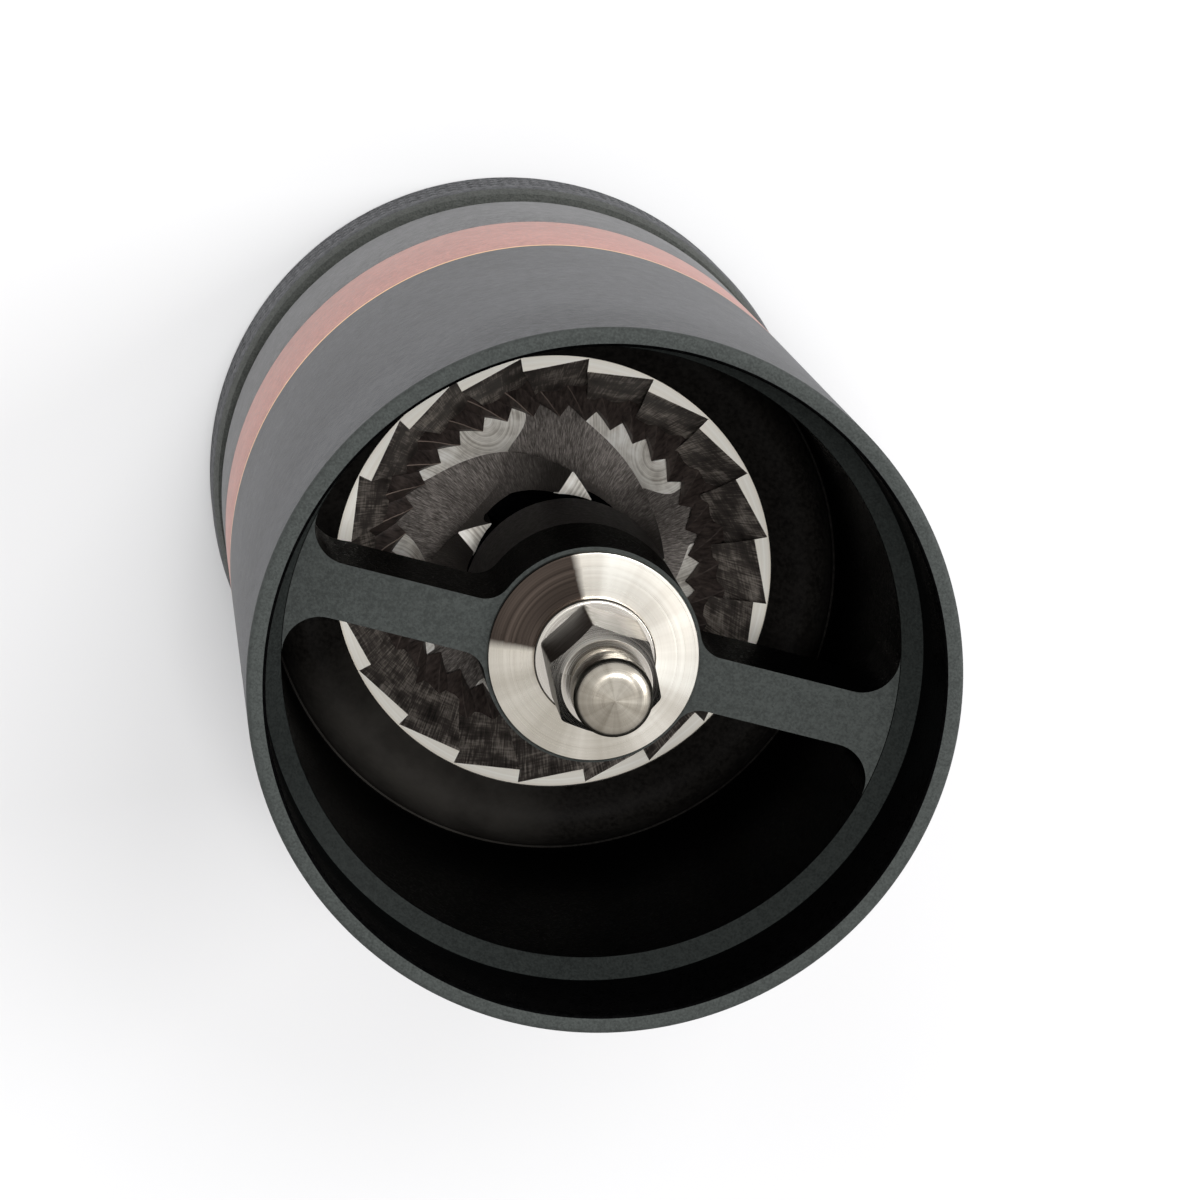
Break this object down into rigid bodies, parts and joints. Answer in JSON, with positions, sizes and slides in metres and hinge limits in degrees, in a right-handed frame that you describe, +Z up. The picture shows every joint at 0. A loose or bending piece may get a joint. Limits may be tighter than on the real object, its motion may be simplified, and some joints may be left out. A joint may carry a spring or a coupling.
{
  "type": "hand burr coffee grinder",
  "caption": "Cylindrical hand coffee grinder with a conical burr set, a bearing bridge across the open hopper and a screw-on catch cup; lid and crank removed.",
  "frame": {"origin": "centre of the base, on the surface the grinder stands on", "axes": "+Z up along the drive shaft towards the open hopper; +X along one arm of the bearing bridge; +Y across the arms, right-handed"},
  "size_m": [0.0578, 0.0578, 0.111],
  "materials": {
    "body_anodised": "bead-blasted grey anodise, matte",
    "copper_anodised": "bead-blasted copper-coloured anodise, satin",
    "clamp_plastic": "moulded black, semi-gloss",
    "carrier_aluminium": "machined",
    "spring_steel": "plain",
    "burr_steel": "machined flanks, ground lands",
    "bearing_steel": "polished",
    "cage_brass": "plain",
    "stainless": "turned and polished",
    "dial_aluminium": "satin",
    "cup_anodised": "bead-blasted grey anodise, matte",
    "seal_rubber": "matte"
  },
  "bodies": {
    "housing": {"hopper_body": "body_anodised", "bearing_bridge": "body_anodised", "copper_sleeve": "copper_anodised", "lower_skirt": "body_anodised", "burr_clamp_ring": "clamp_plastic", "burr_carrier": "carrier_aluminium", "carrier_circlip": "spring_steel", "outer_burr": "burr_steel", "upper_outer_race": "bearing_steel", "lower_outer_race": "bearing_steel", "upper_bearing_shields": "bearing_steel", "lower_bearing_shields": "bearing_steel"},
    "spindle": {"drive_shaft": "stainless", "cap_washer": "stainless", "upper_shim": "spring_steel", "race_spacer": "spring_steel", "shaft_circlip": "spring_steel", "spring_seat": "spring_steel", "burr_spring": "spring_steel", "upper_inner_race": "bearing_steel", "lower_inner_race": "bearing_steel"},
    "upper_ball_set": {"upper_bearing_balls": "bearing_steel", "upper_bearing_cage": "cage_brass"},
    "lower_ball_set": {"lower_bearing_balls": "bearing_steel", "lower_bearing_cage": "cage_brass"},
    "burr_set": {"inner_burr": "burr_steel", "click_plate": "spring_steel"},
    "dial": {"adjusting_dial": "dial_aluminium"},
    "cup_seal": {"cup_oring": "seal_rubber"},
    "cup": {"catch_cup": "cup_anodised", "knurled_base_ring": "cup_anodised"}
  },
  "joints": [
    {"name": "spindle_spin", "type": "hinge", "parent": "housing", "child": "spindle", "pos_m": [0, 0, 0.08], "axis": [0, 0, 1], "continuous": true},
    {"name": "upper_balls_orbit", "type": "hinge", "parent": "housing", "child": "upper_ball_set", "pos_m": [0, 0, 0.0901], "axis": [0, 0, 1], "continuous": true},
    {"name": "lower_balls_orbit", "type": "hinge", "parent": "housing", "child": "lower_ball_set", "pos_m": [0, 0, 0.0717], "axis": [0, 0, 1], "continuous": true},
    {"name": "burr_gap", "type": "slide", "parent": "spindle", "child": "burr_set", "axis": [0, 0, -1], "range_m": [0, 0.0008], "deforming": ["burr_spring"]},
    {"name": "dial_turn", "type": "hinge", "parent": "burr_set", "child": "dial", "pos_m": [0, 0, 0.0333], "axis": [0, 0, -1], "range_deg": [0, 288.5]},
    {"name": "cup_drop", "type": "slide", "parent": "housing", "child": "cup_seal", "axis": [0, 0, -1], "range_m": [0, 0.00801]},
    {"name": "cup_turn", "type": "hinge", "parent": "cup_seal", "child": "cup", "pos_m": [0, 0, 0.01], "axis": [0, 0, -1], "range_deg": [0, 720]}
  ],
  "couplings": [
    {"joint": "upper_balls_orbit", "follows": "spindle_spin", "ratio": 0.4067},
    {"joint": "lower_balls_orbit", "follows": "spindle_spin", "ratio": 0.4067},
    {"joint": "dial_turn", "follows": "burr_gap", "rad_per_m": 6283.2},
    {"joint": "cup_drop", "follows": "cup_turn", "m_per_rad": 0.00063662}
  ]
}
